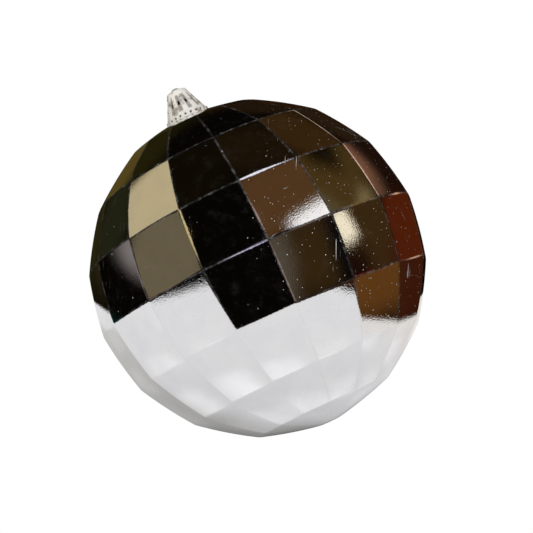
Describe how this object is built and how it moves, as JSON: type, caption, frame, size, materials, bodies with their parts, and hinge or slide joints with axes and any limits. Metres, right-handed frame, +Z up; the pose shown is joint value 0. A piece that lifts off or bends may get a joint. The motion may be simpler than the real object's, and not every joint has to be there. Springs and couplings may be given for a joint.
{
  "type": "faceted hanging ornament",
  "caption": "Hollow ball of flat mirror facets with a ribbed crown cap pressed over its neck and a wire hanger that slides in the cap.",
  "frame": {"origin": "the hanging point: inside the top of the hanger's bow, with the hanger pushed fully into the cap. The ball's centre is 59.1 mm below it", "axes": "+Z up along the axis of the ball, neck and cap; X lies in the plane of the wire hanger"},
  "size_m": [0.1, 0.1, 0.1098],
  "materials": {
    "metallised_shell": "vacuum-metallised mirror silver on moulded plastic",
    "metallised_cap": "vacuum-metallised silver, slightly frosted",
    "spring_wire": "bright drawn spring wire"
  },
  "bodies": {
    "ball": {"shell": "metallised_shell"},
    "cap": {"crown_cap": "metallised_cap"},
    "hanger": {"wire_hanger": "spring_wire"}
  },
  "joints": [
    {"name": "cap_pull", "type": "slide", "parent": "ball", "child": "cap", "axis": [0, 0, 1], "range_m": [0, 0.02]},
    {"name": "hanger_slide", "type": "slide", "parent": "cap", "child": "hanger", "axis": [0, 0, 1], "range_m": [0, 0.007]}
  ]
}
